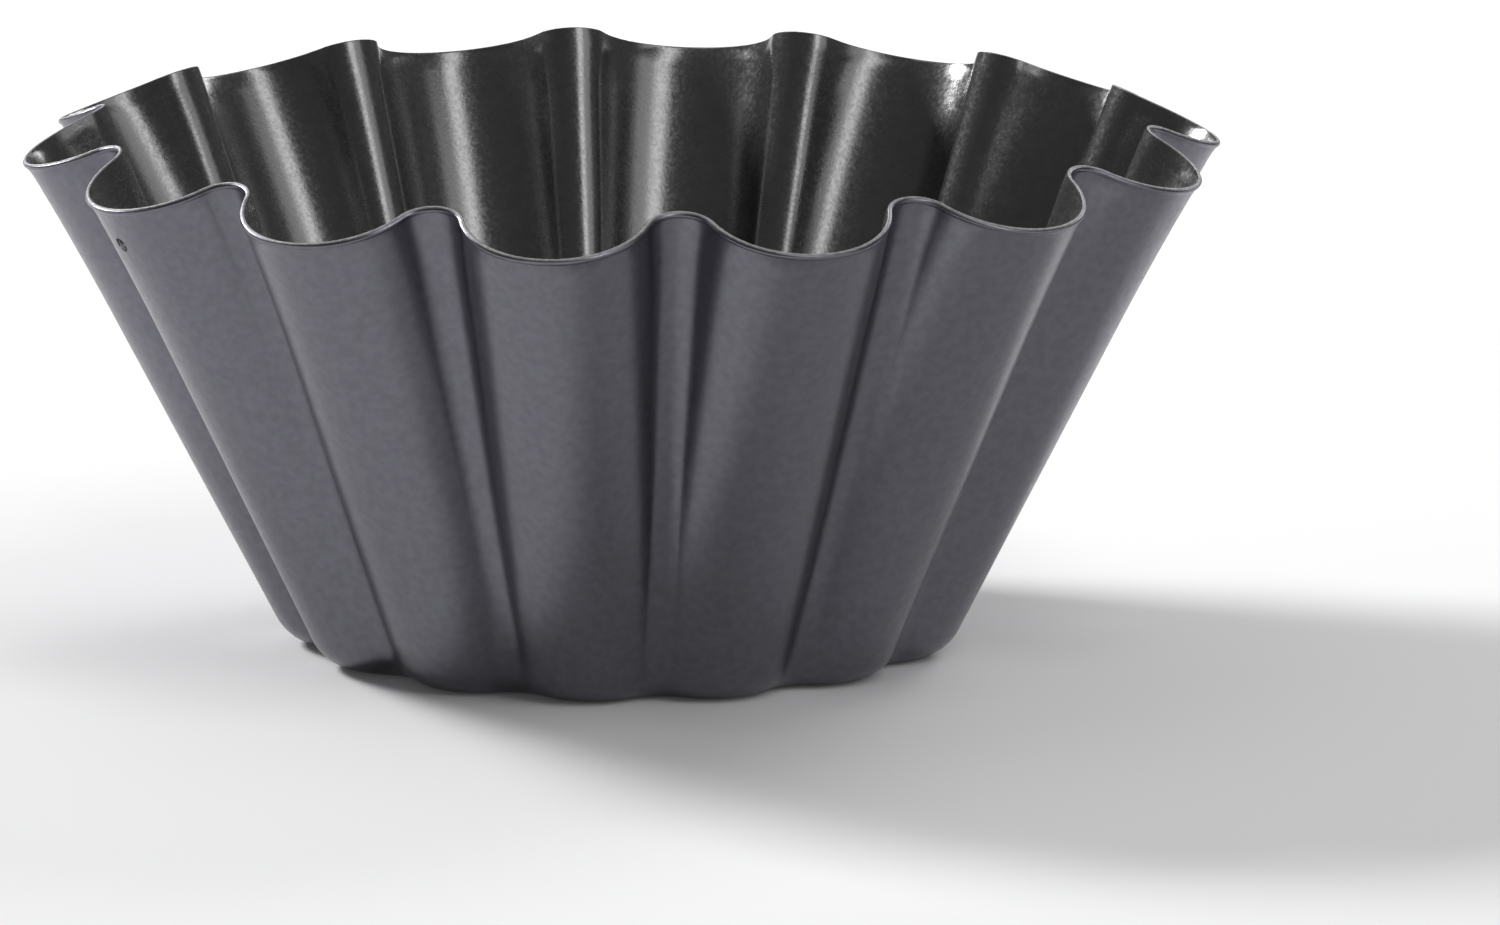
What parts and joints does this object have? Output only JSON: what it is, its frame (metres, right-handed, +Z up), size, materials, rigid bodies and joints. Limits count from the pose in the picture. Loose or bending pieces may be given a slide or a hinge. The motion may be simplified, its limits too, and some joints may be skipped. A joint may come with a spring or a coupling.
{
  "type": "brioche mould",
  "caption": "Round fluted brioche mould: a tapering pressed steel cup with a wavy cut rim, a dark glossy non-stick inside and a satin grey outside.",
  "frame": {"origin": "middle of the base, on the table", "axes": "+Z up along the mould's axis, +X through the crest of a flute, and the picture looks along +Y to within 6 degrees"},
  "size_m": [0.2, 0.196, 0.0884],
  "materials": {
    "steel": "bare cut edge of pressed sheet steel",
    "inside_coating": "glossy dark non-stick film with a fine orange-peel grain",
    "outside_coating": "satin dark grey film, faintly mottled"
  },
  "bodies": {
    "root": {"steel_shell": "steel", "inner_coat": "inside_coating", "outer_coat": "outside_coating", "base_coat": "outside_coating"}
  },
  "joints": []
}
